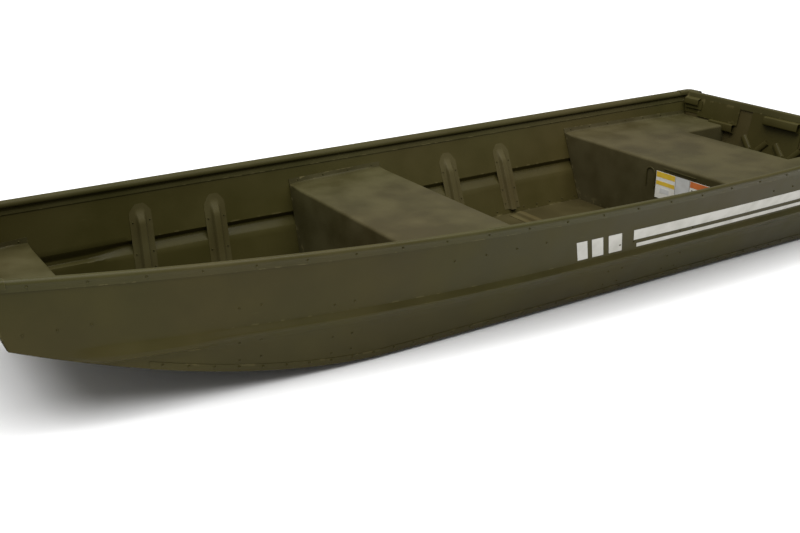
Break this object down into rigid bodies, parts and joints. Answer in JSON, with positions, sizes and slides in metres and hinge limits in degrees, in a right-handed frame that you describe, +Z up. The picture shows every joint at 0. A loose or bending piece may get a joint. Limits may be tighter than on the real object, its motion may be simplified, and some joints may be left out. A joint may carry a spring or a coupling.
{
  "type": "flat-bottomed aluminium jon boat",
  "caption": "Small flat-bottomed riveted aluminium boat in olive drab, with box benches, a raked square bow and a full-width transom for an outboard motor.",
  "frame": {"origin": "below the middle of the boat, on the plane that the bottom runners stand on", "axes": "+X to the bow, +Y to port, +Z up"},
  "size_m": [3.6493, 1.2426, 0.4824],
  "materials": {
    "hull_paint": "satin",
    "bench_paint": "matte",
    "rail_paint": "satin",
    "transom_board": "satin",
    "flotation_foam": "matte",
    "brass_fittings": "satin",
    "plug_rubber": "matte"
  },
  "bodies": {
    "hull": {"bottom_sheet": "hull_paint", "port_side_sheet": "hull_paint", "starboard_side_sheet": "hull_paint", "transom_skin": "hull_paint", "bow_plate": "hull_paint", "port_chine_angle": "hull_paint", "starboard_chine_angle": "hull_paint", "center_keel": "hull_paint", "port_runner": "hull_paint", "starboard_runner": "hull_paint", "port_gunwale": "rail_paint", "starboard_gunwale": "rail_paint", "transom_cap": "rail_paint", "bow_cap": "rail_paint", "port_stern_corner": "rail_paint", "starboard_stern_corner": "rail_paint", "port_bow_corner": "rail_paint", "starboard_bow_corner": "rail_paint", "floor_rib_1": "hull_paint", "floor_rib_2": "hull_paint", "floor_rib_3": "hull_paint", "floor_rib_4": "hull_paint", "port_side_rib_1": "hull_paint", "port_side_rib_2": "hull_paint", "port_side_rib_3": "hull_paint", "port_side_rib_4": "hull_paint", "starboard_side_rib_1": "hull_paint", "starboard_side_rib_2": "hull_paint", "starboard_side_rib_3": "hull_paint", "starboard_side_rib_4": "hull_paint", "bow_bench_cover": "bench_paint", "mid_bench_cover": "bench_paint", "rear_bench_cover": "bench_paint", "bow_foam": "flotation_foam", "mid_foam": "flotation_foam", "rear_foam": "flotation_foam", "port_wing_foam": "flotation_foam", "starboard_wing_foam": "flotation_foam", "transom_core": "transom_board", "inner_motor_pad": "hull_paint", "outer_motor_pad": "hull_paint", "port_transom_brace": "hull_paint", "starboard_transom_brace": "hull_paint", "port_corner_gusset": "hull_paint", "starboard_corner_gusset": "hull_paint", "bow_handle": "rail_paint", "port_stern_handle": "rail_paint", "starboard_stern_handle": "rail_paint", "bow_eye": "brass_fittings", "port_stern_eye": "brass_fittings", "starboard_stern_eye": "brass_fittings", "drain_tube": "brass_fittings", "chine_rivets": "hull_paint", "rib_rivets": "hull_paint", "bench_rivets": "hull_paint", "transom_rivets": "hull_paint", "gunwale_rivets": "rail_paint"},
    "plug": {"plug_bung": "plug_rubber", "plug_stem": "brass_fittings"},
    "lever": {"plug_lever": "brass_fittings"}
  },
  "joints": [
    {"name": "plug_pull", "type": "slide", "parent": "hull", "child": "plug", "axis": [0.9799, 0, 0.1995], "range_m": [0, 0.06]},
    {"name": "lever_flip", "type": "hinge", "parent": "plug", "child": "lever", "pos_m": [-1.68137, 0, 0.06287], "axis": [0, 1, 0], "range_deg": [0, 90]}
  ]
}
